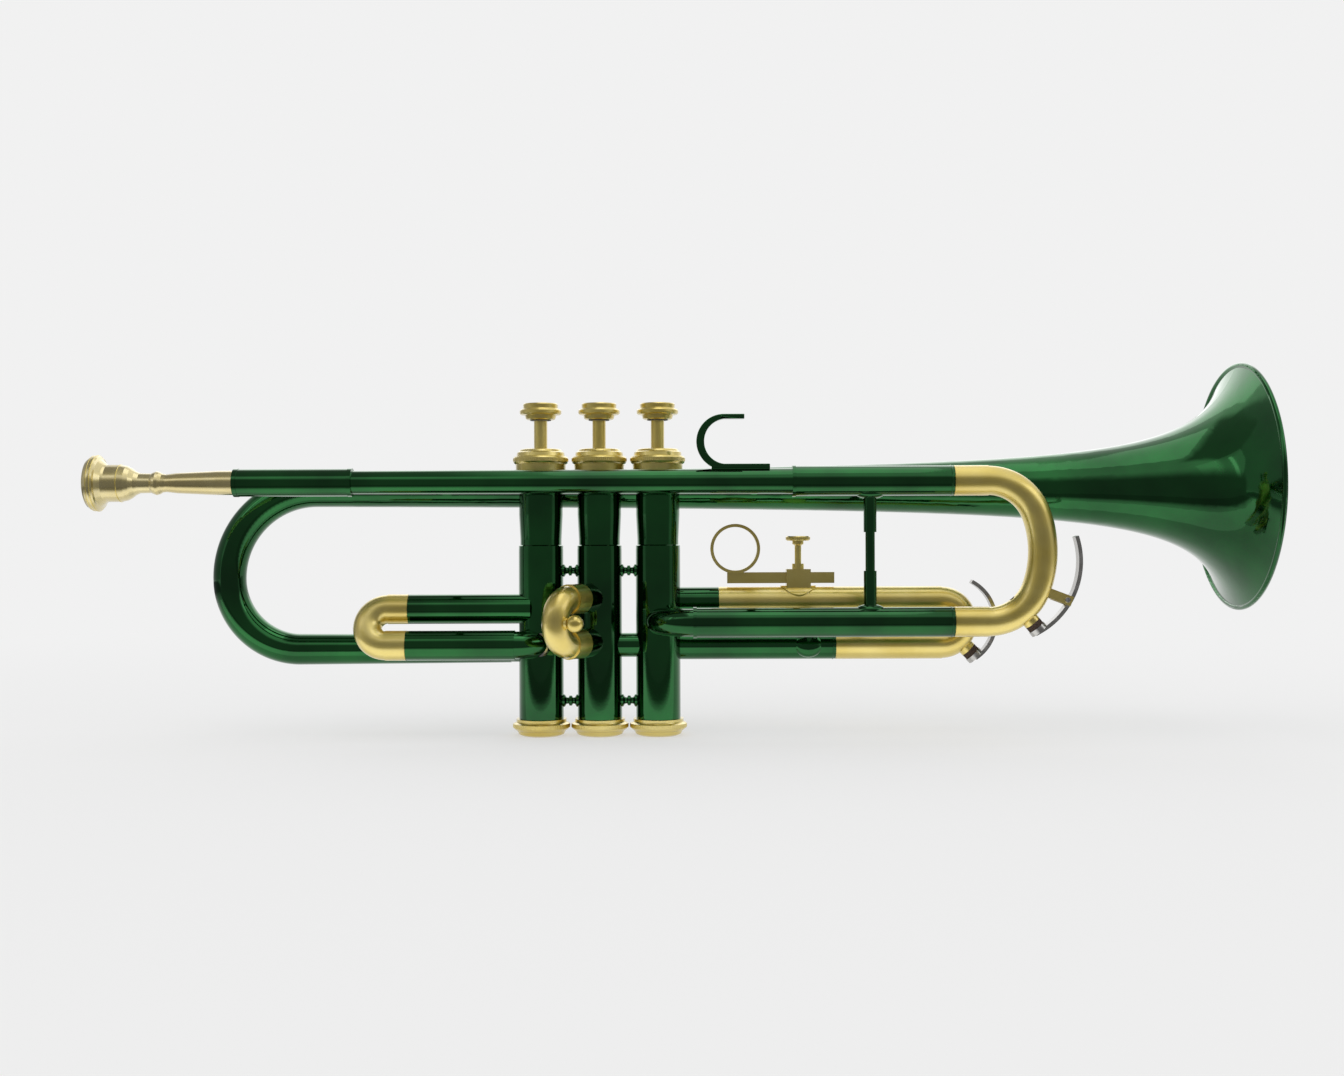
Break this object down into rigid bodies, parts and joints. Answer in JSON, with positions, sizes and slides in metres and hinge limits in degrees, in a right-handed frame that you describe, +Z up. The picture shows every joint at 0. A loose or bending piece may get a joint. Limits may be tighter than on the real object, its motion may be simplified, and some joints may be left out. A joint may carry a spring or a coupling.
{
  "type": "trumpet",
  "caption": "Three-valve trumpet with green lacquered body, gold brass slides, finger hook, adjustable finger ring, water keys and a mouthpiece",
  "frame": {"origin": "centre of the underside of the second valve's bottom cap", "axes": "+X towards the bell, +Y to the player's left (the bell's side), +Z up along the valves to the finger buttons"},
  "size_m": [0.5535, 0.1242, 0.1799],
  "materials": {
    "green_lacquer": "gloss",
    "gold_brass": "gloss",
    "nickel": "satin",
    "spring_steel": "satin",
    "cork": "matte",
    "felt": "matte",
    "pearl": "gloss"
  },
  "bodies": {
    "body": {"bell": "green_lacquer", "bell_rim_wire": "green_lacquer", "bell_bow": "green_lacquer", "leadpipe": "green_lacquer", "mouthpiece_receiver": "green_lacquer", "main_slide_sleeves": "green_lacquer", "valve_casing_1": "green_lacquer", "valve_casing_2": "green_lacquer", "valve_casing_3": "green_lacquer", "casing_balusters": "green_lacquer", "top_caps": "gold_brass", "bottom_caps": "gold_brass", "valve_guides": "gold_brass", "valve_knuckles": "green_lacquer", "valve_elbows": "green_lacquer", "first_slide_sleeves": "green_lacquer", "second_slide_sleeves": "green_lacquer", "third_slide_sleeves": "green_lacquer", "casing_braces": "green_lacquer", "slide_brace": "green_lacquer", "bell_braces": "green_lacquer", "finger_hook": "green_lacquer", "valve_spring_1": "spring_steel", "valve_spring_2": "spring_steel", "valve_spring_3": "spring_steel"},
    "valve_1": {"piston_1": "nickel", "stem_1": "gold_brass", "button_1": "gold_brass", "pearl_1": "pearl", "felts_1": "felt"},
    "valve_2": {"piston_2": "nickel", "stem_2": "gold_brass", "button_2": "gold_brass", "pearl_2": "pearl", "felts_2": "felt"},
    "valve_3": {"piston_3": "nickel", "stem_3": "gold_brass", "button_3": "gold_brass", "pearl_3": "pearl", "felts_3": "felt"},
    "main_slide": {"main_slide_crook": "gold_brass", "main_slide_tubes": "gold_brass", "main_water_key_seat": "gold_brass"},
    "main_water_key": {"main_water_key_lever": "nickel", "main_water_key_cork": "cork"},
    "first_slide": {"first_slide_crook": "gold_brass", "first_slide_tubes": "gold_brass"},
    "second_slide": {"second_slide_crook": "gold_brass", "second_slide_tubes": "gold_brass", "second_slide_knob": "gold_brass"},
    "third_slide": {"third_slide_crook": "gold_brass", "third_slide_tubes": "gold_brass", "third_water_key_seat": "gold_brass", "ring_clamp": "gold_brass"},
    "third_water_key": {"third_water_key_lever": "nickel", "third_water_key_cork": "cork"},
    "finger_ring": {"finger_ring": "gold_brass"},
    "clamp_screw": {"clamp_screw": "gold_brass"},
    "mouthpiece": {"mouthpiece": "gold_brass"}
  },
  "joints": [
    {"name": "valve_1_press", "type": "slide", "parent": "body", "child": "valve_1", "axis": [0, 0, -1], "range_m": [0, 0.0136], "stiffness_N_per_m": 185, "springref_m": -0.0135, "deforming": ["valve_spring_1"]},
    {"name": "valve_2_press", "type": "slide", "parent": "body", "child": "valve_2", "axis": [0, 0, -1], "range_m": [0, 0.0136], "stiffness_N_per_m": 185, "springref_m": -0.0135, "deforming": ["valve_spring_2"]},
    {"name": "valve_3_press", "type": "slide", "parent": "body", "child": "valve_3", "axis": [0, 0, -1], "range_m": [0, 0.0136], "stiffness_N_per_m": 185, "springref_m": -0.0135, "deforming": ["valve_spring_3"]},
    {"name": "main_slide_pull", "type": "slide", "parent": "body", "child": "main_slide", "axis": [1, 0, 0], "range_m": [0, 0.03]},
    {"name": "main_water_key_press", "type": "hinge", "parent": "main_slide", "child": "main_water_key", "pos_m": [0.21918, -0.019, 0.065], "axis": [0, -1, 0], "range_deg": [0, 13], "stiffness_Nm_per_rad": 0.08, "springref_deg": -17.19},
    {"name": "first_slide_pull", "type": "slide", "parent": "body", "child": "first_slide", "axis": [-1, 0, 0], "range_m": [0, 0.025]},
    {"name": "second_slide_pull", "type": "slide", "parent": "body", "child": "second_slide", "axis": [-0.5, -0.866, 0], "range_m": [0, 0.0045]},
    {"name": "third_slide_pull", "type": "slide", "parent": "body", "child": "third_slide", "axis": [1, 0, 0], "range_m": [0, 0.02]},
    {"name": "third_water_key_press", "type": "hinge", "parent": "third_slide", "child": "third_water_key", "pos_m": [0.18919, 0.005, 0.05331], "axis": [0, -1, 0], "range_deg": [0, 13], "stiffness_Nm_per_rad": 0.08, "springref_deg": -17.19},
    {"name": "finger_ring_slide", "type": "slide", "parent": "third_slide", "child": "finger_ring", "axis": [1, 0, 0], "range_m": [-0.01, 0.01]},
    {"name": "clamp_screw_turn", "type": "hinge", "parent": "third_slide", "child": "clamp_screw", "pos_m": [0.09585, 0.005, 0.0865], "axis": [0, 0, 1], "continuous": true},
    {"name": "mouthpiece_pull", "type": "slide", "parent": "body", "child": "mouthpiece", "axis": [-1, 0, 0], "range_m": [0, 0.03]}
  ]
}
